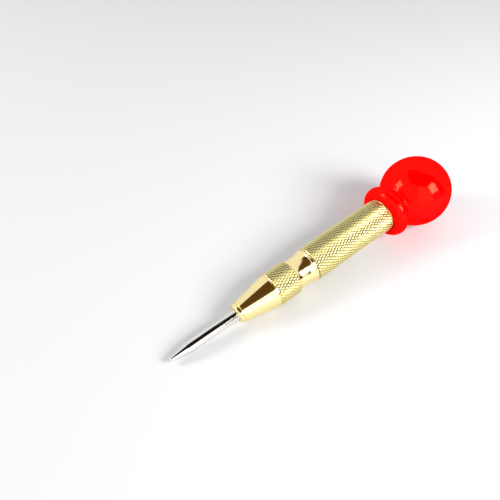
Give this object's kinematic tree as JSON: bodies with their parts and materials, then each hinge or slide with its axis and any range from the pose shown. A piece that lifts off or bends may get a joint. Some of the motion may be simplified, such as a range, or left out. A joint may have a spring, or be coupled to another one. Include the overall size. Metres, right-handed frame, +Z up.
{
  "type": "automatic centre punch",
  "caption": "Spring-loaded centre punch with a tapered steel point, knurled brass barrel and a round red palm handle, lying on a bench.",
  "frame": {"origin": "on the bench, under the middle of the tool's length, where the tool lies on its ball and on its front grip band", "axes": "+X from the point towards the ball handle along the bench, +Z up; the tool's own axis rises 5.8 degrees towards the ball"},
  "size_m": [0.1264, 0.027, 0.027],
  "materials": {
    "point_steel": "ground and polished hardened steel",
    "brass": "polished, with fine diamond knurling on the grips",
    "hard_steel": "turned hardened steel",
    "spring_steel": "oiled drawn spring wire",
    "red_plastic": "glossy moulded plastic"
  },
  "bodies": {
    "barrel_body": {"barrel": "brass", "nose_piece": "brass", "return_spring": "spring_steel", "main_spring": "spring_steel"},
    "point": {"punch_point": "point_steel"},
    "trip_pin": {"trip_pin": "hard_steel"},
    "hammer": {"hammer": "hard_steel"},
    "spring_seat": {"spring_seat": "hard_steel"},
    "handle": {"tension_cap": "brass", "ball_handle": "red_plastic"}
  },
  "joints": [
    {"name": "tip_slide", "type": "slide", "parent": "barrel_body", "child": "point", "axis": [0.9949, 0, 0.1007], "range_m": [0, 0.01], "stiffness_N_per_m": 540, "springref_m": -0.0037, "deforming": ["return_spring"]},
    {"name": "trip_tilt", "type": "hinge", "parent": "point", "child": "trip_pin", "pos_m": [-0.02042, 0, 0.0064], "axis": [0, -1, 0], "range_deg": [0, 2.5]},
    {"name": "hammer_slide", "type": "slide", "parent": "barrel_body", "child": "hammer", "axis": [0.9949, 0, 0.1007], "range_m": [0, 0.01], "stiffness_N_per_m": 4650, "springref_m": -0.006, "deforming": ["main_spring"]},
    {"name": "cap_travel", "type": "slide", "parent": "barrel_body", "child": "spring_seat", "axis": [0.9949, 0, 0.1007], "range_m": [0, 0.003]},
    {"name": "cap_turn", "type": "hinge", "parent": "spring_seat", "child": "handle", "pos_m": [0.03554, 0, 0.01206], "axis": [0.9949, 0, 0.1007], "range_deg": [0, 1080]}
  ],
  "couplings": [
    {"joint": "trip_tilt", "follows": "tip_slide", "rad_per_m": 4.3633},
    {"joint": "hammer_slide", "follows": "tip_slide", "ratio": 1},
    {"joint": "cap_turn", "follows": "cap_travel", "rad_per_m": 6283.2}
  ]
}
